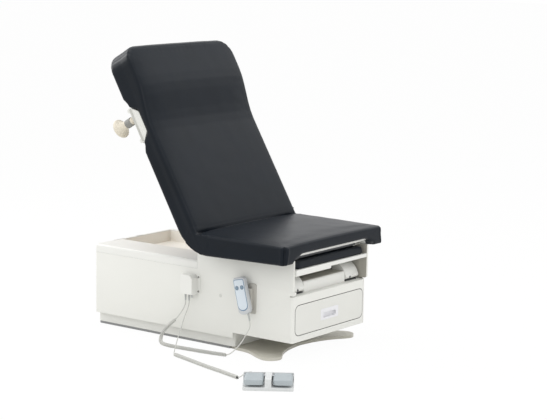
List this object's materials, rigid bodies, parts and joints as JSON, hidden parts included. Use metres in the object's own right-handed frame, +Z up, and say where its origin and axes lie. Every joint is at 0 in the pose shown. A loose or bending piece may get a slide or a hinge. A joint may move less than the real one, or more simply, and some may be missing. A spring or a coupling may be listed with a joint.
{
  "type": "examination table",
  "caption": "Powered examination table with a raised padded back, storage well, pull-out leg rest, heel stirrups, drawer, corded handset and foot switch.",
  "frame": {"origin": "on the floor, at the centre of the plinth's footprint", "axes": "+X towards the foot end, +Y towards the side without the handset, +Z up"},
  "size_m": [1.349, 1.0973, 1.2381],
  "materials": {
    "cabinet": "satin white paint",
    "cover": "fine-grained white",
    "handle": "smooth white",
    "upholstery": "matte black vinyl",
    "liner": "beige",
    "foot": "satin grey paint",
    "frame": "plain grey paint",
    "bright_steel": "bright",
    "dark_steel": "satin black paint",
    "electronics": "dark grey",
    "board": "plain plywood",
    "gasket": "black",
    "relief": "grey",
    "cord": "light grey",
    "hook": "grey",
    "handset": "light grey",
    "keypad": "pale blue",
    "button": "blue grey",
    "switch": "light grey",
    "pedal": "blue grey"
  },
  "bodies": {
    "base": {"floor_plate": "foot", "base_frame": "frame", "plinth_cover": "cabinet", "plinth_gasket": "gasket", "column_outer": "frame", "lift_motor": "dark_steel", "switch_base": "switch", "switch_pin": "bright_steel"},
    "stage": {"column_middle": "frame", "mid_shroud": "cabinet"},
    "upper": {"column_inner": "bright_steel", "chassis_frame": "frame", "side_panel_near": "cabinet", "side_panel_far": "cabinet", "rear_panel": "cabinet", "top_cover": "cover", "well_liner": "liner", "front_box": "cabinet", "front_panel": "cabinet", "control_box": "electronics", "seat_frame": "frame", "seat_board": "cover", "seat_cushion": "upholstery", "hinge_gusset": "upholstery", "hinge_pins": "bright_steel", "drawer_runners": "frame", "leg_rails": "frame", "stirrup_sleeves": "frame", "stirrup_cover": "cover", "cable_box": "cover", "strain_reliefs": "relief", "handset_hook": "hook", "handset_body": "handset", "handset_face": "keypad", "handset_relief": "relief", "handset_cord": "cord", "pedal_cord": "cord"},
    "gas_tube": {"spring_tube": "dark_steel"},
    "gas_rod": {"spring_rod": "bright_steel"},
    "back": {"back_frame": "frame", "back_board": "board", "back_cushion": "upholstery", "roll_bracket_near": "cover", "roll_bracket_far": "cover"},
    "knob_near": {"roll_knob_near": "liner"},
    "knob_far": {"roll_knob_far": "liner"},
    "drawer": {"drawer_tray": "cover", "drawer_front": "cover", "drawer_handle": "handle"},
    "leg_rest": {"leg_pan": "cover", "leg_pad": "upholstery"},
    "stirrup_near": {"stirrup_arm_near": "bright_steel", "heel_cup_near": "cover"},
    "stirrup_far": {"stirrup_arm_far": "bright_steel", "heel_cup_far": "cover"},
    "up_button": {"button_up": "button"},
    "down_button": {"button_down": "button"},
    "up_pedal": {"pedal_up": "pedal"},
    "down_pedal": {"pedal_down": "pedal"}
  },
  "joints": [
    {"name": "lift", "type": "slide", "parent": "base", "child": "upper", "axis": [0, 0, 1], "range_m": [0, 0.42]},
    {"name": "lift_stage", "type": "slide", "parent": "base", "child": "stage", "axis": [0, 0, 1], "range_m": [0, 0.21]},
    {"name": "back_tilt", "type": "hinge", "parent": "upper", "child": "back", "pos_m": [0.23342, 0, 0.448], "axis": [0, 1, 0], "range_deg": [-59.5, 0], "deforming": ["hinge_gusset"]},
    {"name": "gas_tube_swing", "type": "hinge", "parent": "upper", "child": "gas_tube", "pos_m": [0.19042, 0, 0.326], "axis": [0, 1, 0], "range_deg": [-46.5, 0]},
    {"name": "gas_rod_swing", "type": "hinge", "parent": "back", "child": "gas_rod", "pos_m": [0.06924, 0, 0.63215], "axis": [0, 1, 0], "range_deg": [0, 13.1]},
    {"name": "drawer_slide", "type": "slide", "parent": "upper", "child": "drawer", "axis": [1, 0, 0], "range_m": [0, 0.23]},
    {"name": "leg_rest_slide", "type": "slide", "parent": "upper", "child": "leg_rest", "axis": [1, 0, 0], "range_m": [0, 0.39]},
    {"name": "stirrup_near_slide", "type": "slide", "parent": "upper", "child": "stirrup_near", "axis": [1, 0, 0], "range_m": [0, 0.3]},
    {"name": "stirrup_far_slide", "type": "slide", "parent": "upper", "child": "stirrup_far", "axis": [1, 0, 0], "range_m": [0, 0.3]},
    {"name": "knob_near_turn", "type": "hinge", "parent": "back", "child": "knob_near", "pos_m": [-0.14944, -0.329, 0.90094], "axis": [0.8616, 0, 0.5075], "continuous": true},
    {"name": "knob_far_turn", "type": "hinge", "parent": "back", "child": "knob_far", "pos_m": [-0.14944, 0.329, 0.90094], "axis": [0.8616, 0, 0.5075], "continuous": true},
    {"name": "up_button_press", "type": "slide", "parent": "upper", "child": "up_button", "axis": [0, 1, 0], "range_m": [0, 0.0015], "stiffness_N_per_m": 500, "springref_m": -0.002},
    {"name": "down_button_press", "type": "slide", "parent": "upper", "child": "down_button", "axis": [0, 1, 0], "range_m": [0, 0.0015], "stiffness_N_per_m": 500, "springref_m": -0.002},
    {"name": "up_pedal_press", "type": "hinge", "parent": "base", "child": "up_pedal", "pos_m": [0.82439, -0.58622, 0.034], "axis": [0.8131, 0.5821, 0], "range_deg": [0, 5], "stiffness_Nm_per_rad": 6, "springref_deg": -8.59},
    {"name": "down_pedal_press", "type": "hinge", "parent": "base", "child": "down_pedal", "pos_m": [0.82439, -0.58622, 0.034], "axis": [0.8131, 0.5821, 0], "range_deg": [0, 5], "stiffness_Nm_per_rad": 6, "springref_deg": -8.59}
  ],
  "couplings": [
    {"joint": "lift_stage", "follows": "lift", "ratio": 0.5},
    {"joint": "gas_tube_swing", "follows": "back_tilt", "ratio": 0.7805},
    {"joint": "gas_rod_swing", "follows": "back_tilt", "ratio": -0.2195}
  ]
}
